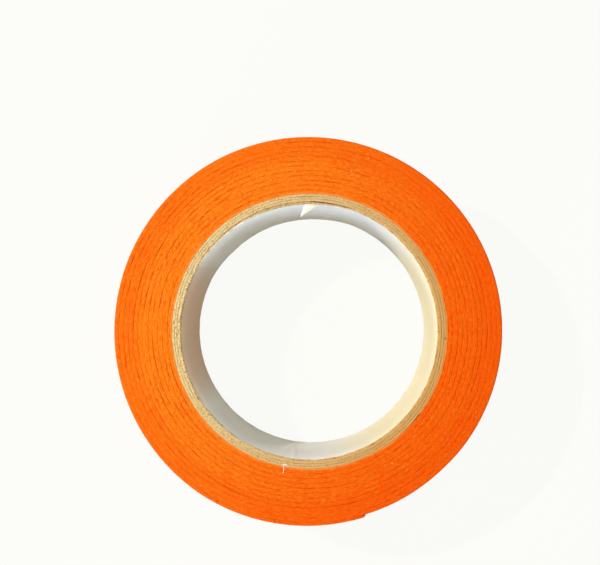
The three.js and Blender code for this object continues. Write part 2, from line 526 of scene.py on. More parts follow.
class Wire:
    """An output socket. Arithmetic on it adds Math nodes, or Vector Math nodes for vectors."""

    def __init__(self, nodes, socket):
        self.nodes = nodes
        self.socket = socket

    def join(self, operation, first, second):
        sides = (first, second)
        if any(isinstance(side, Wire) and side.socket.type == "VECTOR" for side in sides):
            sides = [side if not isinstance(side, (int, float)) else (side,) * 3 for side in sides]
            return self.nodes.node(
                "ShaderNodeVectorMath", {"operation": operation}, {0: sides[0], 1: sides[1]}
            )
        return self.nodes.node("ShaderNodeMath", {"operation": operation}, {0: first, 1: second})

    def __add__(self, other):
        return self.join("ADD", self, other)

    def __radd__(self, other):
        return self.join("ADD", other, self)

    def __sub__(self, other):
        return self.join("SUBTRACT", self, other)

    def __rsub__(self, other):
        return self.join("SUBTRACT", other, self)

    def __mul__(self, other):
        return self.join("MULTIPLY", self, other)

    def __rmul__(self, other):
        return self.join("MULTIPLY", other, self)

    def between(self, low, high):
        """0 below low, 1 above high, and smooth between them."""
        return self.nodes.node(
            "ShaderNodeMapRange",
            {"interpolation_type": "SMOOTHSTEP"},
            {"Value": self, "From Min": low, "From Max": high},
        )

    def mix(self, first, second):
        """The first colour where this wire is 0, and the second where it is 1."""
        return self.nodes.node(
            "ShaderNodeMix",
            {"data_type": "RGBA"},
            {"Factor": self, "A": first, "B": second},
        )


class Nodes:
    """The node tree of one material or world."""

    def __init__(self, tree):
        self.tree = tree
        tree.nodes.clear()

    def node(self, kind, settings=None, inputs=None, output=None):
        """Adds a node, makes its settings, then fills its sockets with values or wires."""
        added = self.tree.nodes.new(kind)
        for name, value in (settings or {}).items():
            setattr(added, name, value)
        sockets = [socket for socket in added.inputs if socket.enabled]
        for key, value in (inputs or {}).items():
            found = [s for i, s in enumerate(sockets) if key in (i, s.name)]
            if not found:
                raise ValueError(f"{kind} has no input {key}")
            if isinstance(value, Wire):
                self.tree.links.new(value.socket, found[0])
            else:
                found[0].default_value = value
        outputs = [socket for socket in added.outputs if socket.enabled]
        named = [socket for socket in outputs if output in (None, socket.name)]
        return Wire(self, named[0]) if named else added

    def attribute(self, name, output="Fac"):
        return self.node("ShaderNodeAttribute", {"attribute_name": name}, output=output)

    def noise(self, place, size, detail=2.0, roughness=0.5, distortion=0.0):
        """Noise from 0 to 1 whose lumps are about size across. Size is one length or three."""
        sizes = size if isinstance(size, tuple) else (size, size, size)
        spread = place * tuple(1.0 / each for each in sizes)
        values = {
            "Vector": spread,
            "Scale": 1.0,
            "Detail": detail,
            "Roughness": roughness,
            "Distortion": distortion,
        }
        return self.node("ShaderNodeTexNoise", {}, values)


def new_material(name, roughness, sheen=0.0, sheen_tint=(1.0, 1.0, 1.0), specular=0.3):
    """A material with one Principled shader, whose constant sockets are set here."""
    material = bpy.data.materials.new(name)
    material.use_nodes = True
    nodes = Nodes(material.node_tree)
    constants = {
        "Roughness": roughness,
        "Specular IOR Level": specular,
        "Sheen Weight": sheen,
        "Sheen Roughness": 0.5,
        "Sheen Tint": opaque(sheen_tint),
    }
    surface = nodes.node("ShaderNodeBsdfPrincipled", {}, constants)
    nodes.node("ShaderNodeOutputMaterial", {}, {"Surface": surface})
    return material, nodes, surface.socket.node


def connect(nodes, shader, name, wire):
    nodes.tree.links.new(wire.socket, shader.inputs[name])


def bump(nodes, shader, height, distance, strength):
    """Small relief, distance high, on the shader's normal."""
    relief = nodes.node(
        "ShaderNodeBump",
        {},
        {"Strength": strength, "Distance": distance, "Height": height},
    )
    connect(nodes, shader, "Normal", relief)


def object_place(nodes):
    return nodes.node("ShaderNodeTexCoord", {}, output="Object")


def painted_lighting_side(nodes, place, azimuth=AWAY_FROM_KEY_AZIMUTH, near_lamp_to=-PAINTED_LIGHT_REACH):
    """0 on the side towards the main lamp and 1 on the side away from it: the mask of the painted light and
    shade across the roll.
    """
    across = nodes.node(
        "ShaderNodeVectorMath",
        {"operation": "DOT_PRODUCT"},
        {0: place, 1: (math.cos(azimuth), math.sin(azimuth), 0.0)},
        output="Value",
    )
    return across.between(near_lamp_to, PAINTED_LIGHT_REACH)


def felt_material(tape):
    """Needled felt: streaks of fibre along the strip, lumps, worn fuzz, painted shade in the gaps between
    turns, and painted shade on the side away from the main lamp.
    """
    material, nodes, shader = new_material(
        "felt_face", 0.95, sheen=0.08, sheen_tint=tone(255, 110, 10), specular=0.02
    )
    strip = nodes.attribute("strip", "Vector")
    place = object_place(nodes)
    streak = nodes.noise(strip, (0.75 * MM, 0.09 * MM, 0.5 * MM), detail=2.0, roughness=0.6)
    lump = nodes.noise(strip, (0.4 * MM, 0.17 * MM, 0.4 * MM), detail=2.0, roughness=0.6)
    speck = nodes.noise(place, 0.15 * MM, detail=1.0)
    broad = nodes.noise(place, 5.5 * MM, detail=2.0)
    light = (streak * 0.5 + lump * 0.25 + speck * 0.25).between(0.44, 0.59)
    deep = (streak * 0.5 + lump * 0.3 + broad * 0.2).between(0.49, 0.37)
    # Painted shade: the felt turns deeper and redder on the side away from the main lamp, and its light
    # fibres fade there.
    away_from_key = painted_lighting_side(nodes, place, FELT_AWAY_FROM_KEY_AZIMUTH, near_lamp_to=-20.0 * MM) * 0.8
    plain = away_from_key.mix(opaque(tape.felt), opaque(tape.felt_shaded_side))
    raised = (away_from_key * 0.85).mix(opaque(tape.felt_light), opaque(tape.felt))
    colour = (light * 0.8).mix(plain, raised)
    colour = (deep * 0.8).mix(colour, opaque(tape.felt_deep))
    colour = (nodes.attribute("smooth_turns") * 0.3).mix(colour, opaque(tape.felt_deep))
    colour = (nodes.attribute("fringe") * 0.8).mix(colour, opaque(tape.backing))
    # Painted shade in the gaps between turns and on the last turn's side under the free end.
    colour = (nodes.attribute("gap") * 0.5).mix(colour, opaque(tape.felt_gap_shade))
    connect(nodes, shader, "Base Color", colour)
    bump(nodes, shader, streak * 0.4 + lump * 0.4 + speck * 0.2, 0.1 * MM, 0.5)
    return material


def backing_material(tape):
    """The strip's inner side: a thin, slightly glossy coat of adhesive over the felt."""
    material, nodes, shader = new_material("tape_backing", 0.5, specular=0.4)
    strip = nodes.attribute("strip", "Vector")
    cloud = nodes.noise(strip, (1.6 * MM, 0.5 * MM, 1.6 * MM), detail=3.0)
    weave = nodes.noise(strip, (0.35 * MM, 0.3 * MM, 0.35 * MM), detail=2.0)
    colour = cloud.between(0.35, 0.7).mix(opaque(tape.backing), opaque(tape.felt))
    connect(nodes, shader, "Base Color", colour)
    connect(nodes, shader, "Roughness", 0.4 + cloud * 0.3)
    bump(nodes, shader, cloud * 0.5 + weave * 0.5, 0.05 * MM, 0.4)
    return material


def strip_materials(tape):
    """The materials of the strip's face and of its inner side, made the first time and then found."""
    found = [bpy.data.materials.get(name) for name in ("felt_face", "tape_backing")]
    return found if all(found) else [felt_material(tape), backing_material(tape)]


def kraft_material(core):
    """Brown core board: tan pulp with pale and dark fibres, rough on its cut edge, with painted shade away
    from the main lamp and beside the liner.
    """
    material, nodes, shader = new_material("brown_board", 0.88, specular=0.2)
    paper = nodes.attribute("paper", "Vector")
    pulp = nodes.noise(paper, (0.4 * MM, 0.16 * MM, 0.4 * MM), detail=3.0, roughness=0.65)
    fibre = nodes.noise(paper, (0.7 * MM, 0.12 * MM, 0.2 * MM), detail=2.0)
    grain = nodes.noise(paper, 0.24 * MM, detail=1.0)
    cloud = nodes.noise(paper, 3.5 * MM, detail=1.0)
    pale = (pulp * 0.5 + grain * 0.5).between(0.48, 0.58)
    dark = (fibre * 0.5 + grain * 0.5).between(0.47, 0.37)
    colour = (pale * 0.9).mix(opaque(core.kraft), opaque(core.kraft_light))
    colour = (dark * 0.9).mix(colour, opaque(core.kraft_dark))
    colour = (cloud.between(0.4, 0.75) * 0.35).mix(colour, opaque(core.kraft_light))
    # Painted shade: the kraft turns darker and redder on the side away from the main lamp.
    colour = (painted_lighting_side(nodes, object_place(nodes)) * 0.8).mix(colour, opaque(core.kraft_shaded_side))
    # Real glue lines between plies, and painted shade on the innermost ply's side that faces the liner.
    glue_and_shade = (nodes.attribute("glue_and_shade") + (grain - 0.5) * 1.2).between(0.35, 0.8)
    colour = (glue_and_shade * 0.6).mix(colour, opaque(core.kraft_dark))
    connect(nodes, shader, "Base Color", colour)
    connect(nodes, shader, "Roughness", 0.8 + pulp * 0.15)
    bump(nodes, shader, pulp * 0.5 + grain * 0.5, 0.07 * MM, 0.6)
    return material


def paper_material(core):
    """White liner paper: faint fibres and stains, painted light on the wall that faces the main lamp,
    painted shade on the wall opposite, and a cut edge that turns brown where pulp clings.
    """
    material, nodes, shader = new_material("white_paper", 0.7, specular=0.25)
    paper = nodes.attribute("paper", "Vector")
    fibre = nodes.noise(paper, (0.8 * MM, 0.2 * MM, 0.25 * MM), detail=3.0, roughness=0.6)
    stain = nodes.noise(paper, (6.0 * MM, 3.0 * MM, 7.0 * MM), detail=2.0)
    grain = nodes.noise(paper, 0.18 * MM, detail=1.0)
    shade = (stain.between(0.45, 0.8) * 0.6 + fibre.between(0.45, 0.75) * 0.25) * 0.8
    colour = shade.mix(opaque(core.paper), opaque(core.paper_shade))
    place = object_place(nodes)
    away_from_key = painted_lighting_side(nodes, place)
    lit_wall = painted_lighting_side(nodes, place, LIT_WALL_AZIMUTH)
    # Painted light: the wall away from the main lamp faces it and is painted cream; the torn flap's own
    # yellow tint is added here too.
    yellow = (away_from_key.between(0.66, 0.96) + nodes.attribute("yellow")) * 0.85
    colour = yellow.mix(colour, opaque(core.paper_lit_and_yellowed))
    # Painted shade: the wall nearest the main lamp, which faces away from it, is painted brown.
    colour = (lit_wall.between(0.1, 0.03) * 0.9).mix(colour, opaque(core.paper_shaded_wall))
    pulp = (nodes.attribute("pulp") + (grain - 0.5) * 0.5).between(0.3, 0.7)
    # Painted shade: pulp on the cut edge turns darker and redder away from the main lamp.
    painted_side_shade = away_from_key * 0.65
    brown = grain.between(0.3, 0.65).mix(opaque(core.kraft_dark), opaque(core.kraft_light))
    brown = painted_side_shade.mix(brown, opaque(core.kraft_shaded_side))
    colour = pulp.mix(colour, brown)
    connect(nodes, shader, "Base Color", colour)
    connect(nodes, shader, "Roughness", 0.62 + fibre * 0.15)
    bump(nodes, shader, fibre * 0.6 + stain * 0.4, 0.03 * MM, 0.35)
    return material


def thread_material(name, colour, tip):
    """A loose fibre, a little lighter in some places along its length."""
    material, nodes, shader = new_material(name, 0.8, sheen=0.1, specular=0.2)
    cloud = nodes.noise(object_place(nodes), 0.25 * MM, detail=2.0)
    connect(nodes, shader, "Base Color", cloud.between(0.35, 0.65).mix(opaque(colour), opaque(tip)))
    return material


# ---------------------------------------------------------------------------------------------
# The strip
# ---------------------------------------------------------------------------------------------


def strip_start(tape):
    return math.degrees(tape.end_angle) - tape.turns * 360.0


def windings_end(tape):
    """Where the wound part stops: half a length before the first hinge of the free end."""
    return math.degrees(tape.end_angle - (len(PEEL_JOINTS) + 0.5) * tape.peel_length)


def strip_thickness(tape, place):
    """The strip is pressed thin at its start and again towards its free end."""
    past_start = (place - strip_start(tape)) / math.degrees(tape.start_taper)
    before_end = (math.degrees(tape.end_angle) - place) / math.degrees(tape.end_taper)
    at_start = tape.start_thickness + (tape.thickness - tape.start_thickness) * np.minimum(1, past_start)
    at_end = tape.end_thickness + (tape.thickness - tape.end_thickness) * np.minimum(1, before_end)
    return np.minimum(at_start, at_end)


def seat_radius(tape, place):
    """Radius of what the strip lies on: the core under its first turn, and then the turn below."""
    place = np.asarray(place, float)
    start = strip_start(tape)
    climb = math.degrees(tape.start_climb)
    turn = np.floor((place - start) / 360.0)
    first_line = place - turn * 360.0
    climbed = np.maximum(0.0, first_line - start - (360.0 - climb)) / climb
    on_core = tape.core_radius + tape.turn_gap + (tape.start_thickness + tape.turn_gap) * climbed
    pitch = tape.thickness + tape.turn_gap
    above = on_core + strip_thickness(tape, first_line) + tape.turn_gap + (turn - 1) * pitch
    return np.where(turn < 1, on_core, above)


def strip_length(tape, place):
    """Length of the strip from its start to a place."""
    start = strip_start(tape)
    mean_radius = (seat_radius(tape, place) + seat_radius(tape, np.array([start]))[0]) / 2
    return np.radians(place - start) * mean_radius


def cover_radius(tape, place):
    return seat_radius(tape, place) + strip_thickness(tape, place)


def inner_share(tape, place):
    """1 on the turns near the core, falling to 0 on the outermost turns."""
    left = (math.degrees(tape.end_angle) - np.asarray(place, float)) / 360.0
    return rise(1.0, 4.5, left)


def gap_opening(tape, place):
    """How far the edges of the strip and of the turn outside it stand apart, from 0 to 1."""
    broad = wander(place, 24.0, GAP_SEED)
    short = wander(place, 5.0, GAP_SEED + 1)
    fine = wander(place, 1.9, GAP_SEED + 2)
    inner = inner_share(tape, place)
    strength = broad * 0.35 + short * 0.6 + fine * 0.6 + 0.4 * inner
    opening = rise(-0.15, 1.4, strength)
    opening = opening * (1.0 - 0.2 * hump(0.0, 115.0, (place + 180.0) % 360.0 - 180.0))
    for deep in DEEP_GAPS:
        laps = deep.angle - 360.0 * np.arange(14)
        nearest = laps[np.argmin(np.abs(cover_radius(tape, laps) - deep.radius))]
        opening = np.maximum(opening, hump(nearest, deep.sweep / 2, place) ** 0.5)
    return opening


def line_wander(tape, place):
    """How far the line between the strip and the turn outside it wanders outwards."""
    start = strip_start(tape)
    end = math.degrees(tape.end_angle)
    free = rise(start, start + 40.0, place) * rise(end - 360.0, end - 400.0, place)
    drift = wander(place, 19.0, EDGE_SEED) * 0.6 + wander(place, 5.0, EDGE_SEED + 1) * 0.4
    return tape.edge_wander * drift * free


def turn_lift(tape, place):
    """How far the strip's edge stands above or below its neighbours. The outer turns lie more level."""
    drift = wander(place, 48.0, EDGE_SEED + 2) * 0.65 + wander(place, 9.0, EDGE_SEED + 3) * 0.35
    return tape.edge_lift * drift * (0.35 + 0.65 * inner_share(tape, place))


def edge_outline(tape, thick, inner_gap, outer_gap, rim):
    """Across, drop and share of painted gap shade of the points over one edge of the strip, from its inner
    side outwards.

    Drop is how far a point lies below the edge's crown. Rim is 1 where no turn lies outside.
    """
    round_in = np.minimum(TOUCHING_ROUND + GAP_ROUND * inner_gap, thick * MOST_ROUND)
    round_out = TOUCHING_ROUND + GAP_ROUND * outer_gap + RIM_ROUND * rim
    round_out = np.minimum(round_out, thick * MOST_ROUND)
    covered = 1.0 - rim
    foot = 0.5 * tape.turn_gap
    shift_in = 0.5 * tape.gap_width * inner_gap - foot
    shift_out = (0.5 * tape.gap_width * outer_gap - foot) * covered
    across = [np.full_like(thick, -foot)]
    drop = [0.9 * round_in + FOOT_DROP]
    share = [0.3 + 0.7 * inner_gap]
    for step in EDGE_STEPS:
        across.append(shift_in + step.inwards * round_in)
        drop.append(step.down * round_in)
        share.append(step.shade * (0.1 + 0.9 * inner_gap))
    crown_from = shift_in + round_in
    crown_to = thick - shift_out - round_out
    for part in (0.25, 0.5, 0.75):
        across.append(crown_from + (crown_to - crown_from) * part)
        drop.append(np.full_like(thick, -CROWN_HEIGHT * math.sin(math.pi * part)))
        share.append(np.zeros_like(thick))
    for step in reversed(EDGE_STEPS):
        across.append(thick - shift_out - step.inwards * round_out)
        drop.append(step.down * round_out)
        share.append(step.shade * (0.1 + 0.9 * outer_gap) * covered)
    across.append(thick + foot * covered)
    drop.append(0.9 * round_out + FOOT_DROP)
    share.append((0.3 + 0.7 * outer_gap) * covered)
    return np.stack(across, 1), np.stack(drop, 1), np.stack(share, 1)


def drawn_section(tape, place):
    """Inner radius and thickness of the strip, with its wandering lines and its lifted, pressed tip."""
    end = math.degrees(tape.end_angle)
    moved_in = line_wander(tape, place - 360.0)
    moved_out = line_wander(tape, place)
    radius = seat_radius(tape, place) + moved_in
    radius = radius + tape.tip_lift * rise(end - TIP_LENGTH, end - 1.0, place)
    thick = strip_thickness(tape, place) + moved_out - moved_in
    pressed = np.clip((place - end + TIP_PRESSED) / TIP_PRESSED, 0.0, 1.0)
    return radius, thick - (thick - TIP_THICKNESS) * pressed


def strip_outline(tape, place):
    """The closed outline of the strip at each place: points, felt coordinates, share of painted gap shade
    and side labels.

    It runs over the upper edge, down the outer side, back over the lower edge and up the inner side.
    """
    end = math.degrees(tape.end_angle)
    radius, thick = drawn_section(tape, place)
    rim = rise(end - 361.0, end - 360.0, place)
    on_core = place - 360.0 < strip_start(tape)
    inner_gap = np.where(on_core, CORE_GAP, gap_opening(tape, place - 360.0))
    across, drop, share = edge_outline(tape, thick, inner_gap, gap_opening(tape, place), rim)
    along = strip_length(tape, place)[:, None]
    fine = mottle(along, across, 0.45 * MM, 0.14 * MM, FELT_SEED) * FELT_NAP
    upper = ROLL_WIDTH + turn_lift(tape, place)[:, None] - drop + fine
    under_lift = 0.5 * turn_lift(tape, place + UNDERSIDE_SHIFT)[:, None]
    lower = np.maximum(UNDERSIDE_HEIGHT + under_lift + drop - fine, 0.0)
    rows = np.linspace(0.0, 1.0, SIDE_ROWS + 2)[1:-1]
    inward = -np.sin(math.pi * rows)
    outer_z = upper[:, -1:] * (1 - rows) + lower[:, -1:] * rows
    inner_z = lower[:, :1] * (1 - rows) + upper[:, :1] * rows
    ripple = mottle(along, outer_z, 2.3 * MM, 2.6 * MM, FELT_SEED + 1) * RIPPLE
    outer_x = np.repeat(across[:, -1:], SIDE_ROWS, 1) + (ripple + HOLLOW * inward)
    inner_x = np.repeat(across[:, :1], SIDE_ROWS, 1)
    x = np.concatenate([across, outer_x, across[:, ::-1], inner_x], 1)
    z = np.concatenate([upper, outer_z, lower[:, ::-1], inner_z], 1)
    # Painted shade on the last turn's outer side, where the free end lies over it.
    outer_share = np.repeat(0.3 * (1.0 - rim[:, None]), SIDE_ROWS, 1)
    share = np.concatenate([share, outer_share, share[:, ::-1], np.zeros_like(outer_share)], 1)
    points = from_polar(radius[:, None] + x, place[:, None], z)
    coordinates = np.stack(np.broadcast_arrays(along, x, z), axis=-1)
    edge = across.shape[1] - 1
    outer_side = [SKIRT] + [OUTER] * (SIDE_ROWS - 1) + [SKIRT]
    inner_side = [SKIRT] + [INNER] * (SIDE_ROWS - 1) + [SKIRT]
    sides = np.array([EDGE] * edge + outer_side + [EDGE] * edge + inner_side)
    return points, coordinates, share, sides


def felt_marks(tape, place, coordinates, share):
    """The attributes that the felt's material reads at each point of the strip."""
    turns_left = (math.degrees(tape.end_angle) - place) / 360.0
    smooth_turns = np.repeat(rise(6.0, 3.5, turns_left)[:, None], share.shape[1], 1)
    first_turn = rise(strip_start(tape) + 364.0, strip_start(tape) + 340.0, place)[:, None]
    ragged = 0.1 * MM * wander(place, 3.0, FRINGE_SEED)[:, None]
    fringe = first_turn * rise(0.3 * MM, 0.05 * MM, coordinates[..., 1] + ragged)
    return {
        "strip": coordinates.reshape(-1, 3),
        # Painted shade in the gaps between turns.
        "gap": (share * (1.0 - fringe)).ravel(),
        "smooth_turns": smooth_turns.ravel(),
        "fringe": fringe.ravel(),
    }


def strip_piece(name, tape, place, wound):
    """A length of the strip. In the wound part, the sides that other turns hide are left out."""
    points, coordinates, share, sides = strip_outline(tape, place)
    sections, columns = share.shape
    faces, row, column = loft_faces(sections, columns)
    side = sides[column]
    if wound:
        bare = place[row] > windings_end(tape) - 360.0 - BARE_MARGIN
        kept = (side == EDGE) | (side == SKIRT) | ((side == OUTER) & bare)
        faces = faces[kept]
        side = side[kept]
    material_index = (side == INNER).astype(int).tolist()
    groups = [faces]
    if not wound:
        groups += end_caps(sections, columns)
        material_index += [0, 0]
    attributes = felt_marks(tape, place, coordinates, share)
    materials = strip_materials(tape)
    caps = 0 if wound else 2
    points = points.reshape(-1, 3)
    piece = make_mesh(name, points, groups, attributes, materials, material_index, caps)
    return piece


def bend_with_hinge(piece, tape, index):
    """Bakes a piece of the free end's transform into its mesh. The hinge between its mid-lengths is worked
    out, but nothing bends.
    """
    half = math.degrees(tape.peel_length) / 2
    hinge = windings_end(tape) + half + index * 2 * half
    radius = float(cover_radius(tape, np.array([hinge]))[0])
    ends = from_polar(radius, np.array([hinge - half, hinge + half]), ROLL_WIDTH / 2)
    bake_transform(piece)


def free_end_places(tape, index):
    """Places along one piece of the free end. The last piece reaches the tip."""
    step = math.degrees(tape.peel_length)
    first = windings_end(tape) + index * step
    last = math.degrees(tape.end_angle) if index == len(PEEL_JOINTS) - 1 else first + step
    return steps_between(first, last, END_STEP)


# ---------------------------------------------------------------------------------------------
# The core
# ---------------------------------------------------------------------------------------------


def ply_radius(core, index):
    """Inner radius of a brown ply."""
    pitch = core.ply_thickness + core.glue_gap
    return core.bore_radius + core.liner_thickness + core.glue_gap + index * pitch


def burr(angle):
    """How far the innermost ply's cut edge hangs over the liner's edge."""
    ragged = 0.14 + 0.13 * wander(angle, 1.4, PLY_SEED + 7) + 0.06 * wander(angle, 6.0, PLY_SEED + 8)
    around = angle % 360.0
    torn = 0.16 * hump(TEAR_ANGLE, 6.5, around)
    past_start = rise(BARE_EDGE_FROM, BARE_EDGE_FROM + 6.0, around)
    before_end = 1.0 - rise(BARE_EDGE_TO - 3.0, BARE_EDGE_TO, around)
    return (ragged * (1.0 - past_start * before_end) + torn) * MM


def core_ply(core, index, material):
    """One brown ply: a ring cut from a slanting paper ribbon, with an open joint and a rough cut edge."""
    inner = ply_radius(core, index)
    outer = inner + core.ply_thickness
    ribbon = min(0.99, core.paper_width / (math.tau * outer))
    pitch = math.tau * outer * math.tan(math.asin(ribbon))
    joint = math.degrees(core.seam_gap / outer)
    first = FIRST_SEAM + SEAM_STEP * index
    place = steps_between(first + joint / 2, first + 360.0 - joint / 2, PAPER_STEP)
    parts = np.array(PLY_PARTS)
    rounding = np.array(PLY_ROUNDING) * MM
    rows = np.linspace(0.0, 1.0, PLY_ROWS + 2)[1:-1]
    top_angle = place[:, None] + 360.0 * ROLL_WIDTH / pitch
    seed = PLY_SEED + index * 3
    across = np.repeat((parts * core.ply_thickness)[None], len(place), 0)
    layer = across / MM + 3.7 * index
    tear = mottle(top_angle, layer, 0.8, 0.12, PLY_SEED) * PLY_TEAR
    tear = tear + wander(top_angle, 6.0, PLY_SEED + 1) * PLY_WAVE
    edge_move = wander(top_angle, 1.1, seed + 2) * PLY_NOTCH
    top_x = across + edge_move * (np.abs(parts - 0.5) > 0.45)[None]
    if index == 0:
        hang = burr(top_angle)
        top_x = top_x - hang * (parts < 0.05)[None] - 0.5 * hang * (np.abs(parts - 0.1) < 0.05)[None]
    top_z = ROLL_WIDTH - rounding[None] + tear
    low_z = rounding[None] + 0.02 * MM + np.abs(tear)
    under_edge = np.append(rows, 1.0)
    outer_x = np.full((len(place), len(rows)), core.ply_thickness)
    inner_x = np.zeros((len(place), len(under_edge)))
    x = np.concatenate([top_x, outer_x, across[:, ::-1], inner_x], 1)
    down = top_z[:, -1:] * (1 - rows) + low_z[:, -1:] * rows
    up = low_z[:, :1] * (1 - under_edge) + (top_z[:, :1] - 0.1 * MM) * under_edge
    z = np.concatenate([top_z, down, low_z[:, ::-1], up], 1)
    angle = place[:, None] + 360.0 * z / pitch
    points = from_polar(inner + x, angle, z)
    coordinates = np.stack([np.radians(angle) * inner, x + 3 * index * MM, z], axis=-1)
    glue_and_shade = np.zeros_like(x)
    glue_and_shade[:, (0, len(parts) - 1)] = 0.55 + 0.45 * wander(top_angle, 4.0, seed + 5)
    if index == 0:
        glue_and_shade[:, 0] = 0.0
        # Painted shade: the innermost ply's side that faces the liner is darkened all over.
        glue_and_shade[:, -len(under_edge) :] = 1.0
    attributes = {"paper": coordinates, "glue_and_shade": np.clip(glue_and_shade, 0, 1)}
    piece = capped_loft(f"kraft_ply_{index + 1}", points, attributes, material)
    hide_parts(f"core_ply_{index + 1}")
    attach(piece, "roll")


def liner_step(core, place):
    """How far the liner has stepped inwards on to its own start, from 0 to 1."""
    start = math.degrees(core.liner_start)
    climb = math.degrees(core.liner_climb)
    return np.clip((place - start - (360.0 - climb)) / climb, 0.0, 1.0)


def liner_radius(core, turn_gap, place):
    """Inner radius of the liner. Its last part lies inside its own start."""
    return core.bore_radius - (core.liner_thickness + turn_gap) * liner_step(core, place)


def liner_buckle(place, height):
    """How far the liner's inner side stands out of true, with its soft folds."""
    around = place[:, None]
    buckle = mottle(around, height / MM, 9.0, 9.0, LINER_SEED + 3) * BROAD_BUCKLE
    buckle = buckle + mottle(around, height / MM, 3.0, 5.0, LINER_SEED + 4) * SMALL_BUCKLE
    for crease in CREASES:
        middle = crease.angle + crease.slant * (ROLL_WIDTH - height) / MM
        buckle = buckle - CREASE_DEPTH * hump(0.0, CREASE_WIDTH, around % 360.0 - middle)
    return buckle


def core_liner(core, turn_gap, material):
    """The white paper: one sheet wrapped past a full turn, softly buckled, with fuzzy cut edges."""
    first = math.degrees(core.liner_start)
    last = first + math.degrees(core.liner_wrap)
    place = steps_between(first, last, PAPER_STEP)
    parts = np.array(LINER_PARTS)
    rounding = np.array(LINER_ROUNDING) * MM
    rows = np.linspace(0.0, 1.0, LINER_ROWS + 2)[1:-1]
    lap = rise(first + 360.0 - 4.0, first + 360.0, place)[:, None]
    frayed = mottle(place[:, None], parts[None], 0.9, 0.35, LINER_SEED) * LINER_FRAY
    level = 0.09 * MM * (lap - 1.0) + wander(place[:, None], 5.0, LINER_SEED + 1) * LINER_WAVE
    top_z = ROLL_WIDTH + level - rounding[None] + frayed
    low_z = 0.03 * MM + rounding[None] + np.abs(frayed)
    thick = core.liner_thickness
    worn = WORN_SHARE * thick * rise(last - WORN_SWEEP, last, place)[:, None]
    edge_x = parts[None] * thick + worn * (1.0 - parts[None])
    notch = wander(place[:, None], 1.3, LINER_SEED + 2) * LINER_NOTCH
    edge_x = edge_x + notch * (parts < 0.1)[None]
    outer_z = top_z[:, -1:] * (1 - rows) + low_z[:, -1:] * rows
    inner_z = low_z[:, :1] * (1 - rows) + top_z[:, :1] * rows
    fade = rise(0.0, 0.12, rows) * rise(1.0, 0.88, rows)
    inner_x = liner_buckle(place, inner_z) * fade[None] + worn
    outer_x = np.full_like(outer_z, thick)
    x = np.concatenate([edge_x, outer_x, edge_x[:, ::-1], inner_x], 1)
    z = np.concatenate([top_z, outer_z, low_z[:, ::-1], inner_z], 1)
    slant = LINER_END_SLANT * (z / ROLL_WIDTH - 0.5) * rise(last - 30.0, last, place)[:, None]
    turned = place[:, None] + slant
    radius = liner_radius(core, turn_gap, place)[:, None]
    points = from_polar(radius + x, turned, z)
    coordinates = np.stack([np.radians(turned) * core.bore_radius, x, z], axis=-1)
    pulp = np.zeros_like(x)
    bare = rise(105.0, 120.0, place - 360.0) * 0.42
    clings = 0.9 - bare + (0.35 - 0.6 * bare) * wander(place, 2.0, LINER_SEED + 5)
    pulp[:, : len(parts)] = clings[:, None]
    piece = capped_loft("paper_liner", points, {"paper": coordinates, "pulp": pulp}, material)
    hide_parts("core_liner")
    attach(piece, "roll")


def torn_flap(core, material):
    """A horn-shaped tear of liner paper, bent into the bore at the rim and creased along its middle."""
    down = np.linspace(0.0, 1.0, 13)
    over = np.linspace(0.0, 1.0, 7)
    root = core.bore_radius + 0.1 * MM
    tip = from_polar(core.bore_radius - core.flap_reach, FLAP_TIP_ANGLE, 0.0)
    sides = []
    for root_angle, (reach, angle) in (
        (FLAP_LEFT_ANGLE, FLAP_LEFT_MIDDLE),
        (FLAP_RIGHT_ANGLE, FLAP_RIGHT_MIDDLE),
    ):
        start = from_polar(root, root_angle, 0.0)
        middle = from_polar(core.bore_radius - reach, angle, 0.0)
        t = down[:, None]
        sides.append((1 - t) ** 2 * start + 2 * t * (1 - t) * middle + t * t * tip)
    left, right = sides
    flat = left[:, None] * (1 - over[None, :, None]) + right[:, None] * over[None, :, None]
    ridge = hump(0.3, 0.75, over)[None, :] * np.sin(math.pi * (0.2 + 0.7 * down))[:, None]
    bend = ROLL_WIDTH - 0.28 * MM - 0.34 * MM * down[:, None] ** 1.5 + 0.26 * MM * ridge
    upper = flat.copy()
    upper[..., 2] = bend
    lower = flat.copy()
    lower[..., 2] = bend - FLAP_THICKNESS * (1 - 0.6 * down[:, None])
    points = np.concatenate([upper, lower[:, ::-1]], 1)[:, ::-1]
    yellow = np.concatenate([over, over[::-1]])[::-1][None] * (1 - down[:, None]) ** 0.8
    attributes = {"paper": points, "pulp": 0.45 * yellow, "yellow": np.minimum(1.0, 1.6 * yellow)}
    piece = capped_loft("torn_flap", points, attributes, material)
    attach(piece, "roll")


# ---------------------------------------------------------------------------------------------
# Loose fibres
# ---------------------------------------------------------------------------------------------


def tubes_piece(name, paths, radii, material, sides=5):
    """One piece made of many thin fibres, each tapered at both ends."""
    groups = []
    points = []
    start = 0
    for path, radius in zip(paths, radii):
        taper = np.sqrt(np.clip(np.sin(np.linspace(0.06, math.pi - 0.06, len(path))), 0.05, 1.0))
        rings = tube_points(path, radius * taper, sides)
        faces, _, _ = loft_faces(len(path), sides)
        groups.append(faces[:, ::-1] + start)
        points.append(rings.reshape(-1, 3))
        start += len(path) * sides
    piece = make_mesh(name, np.concatenate(points), groups, {}, [material])
    return piece


def fibre_path(radius, angle, heading, reach, curl, height, lift=0.0, steps=5):
    """A fibre that lies on the upper face. Heading is its angle from the radial direction."""
    along = np.linspace(-0.5, 0.5, steps)
    start = from_polar(radius, angle, height)
    turned = math.radians(angle + heading)
    forward = np.array([math.cos(turned), math.sin(turned), 0.0])
    sideways = np.array([-math.sin(turned), math.cos(turned), 0.0])
    bow = curl * (0.25 - along**2) * 4.0
    path = start + along[:, None] * reach * forward + bow[:, None] * sideways
    path[:, 2] += lift * (along + 0.5)
    return path


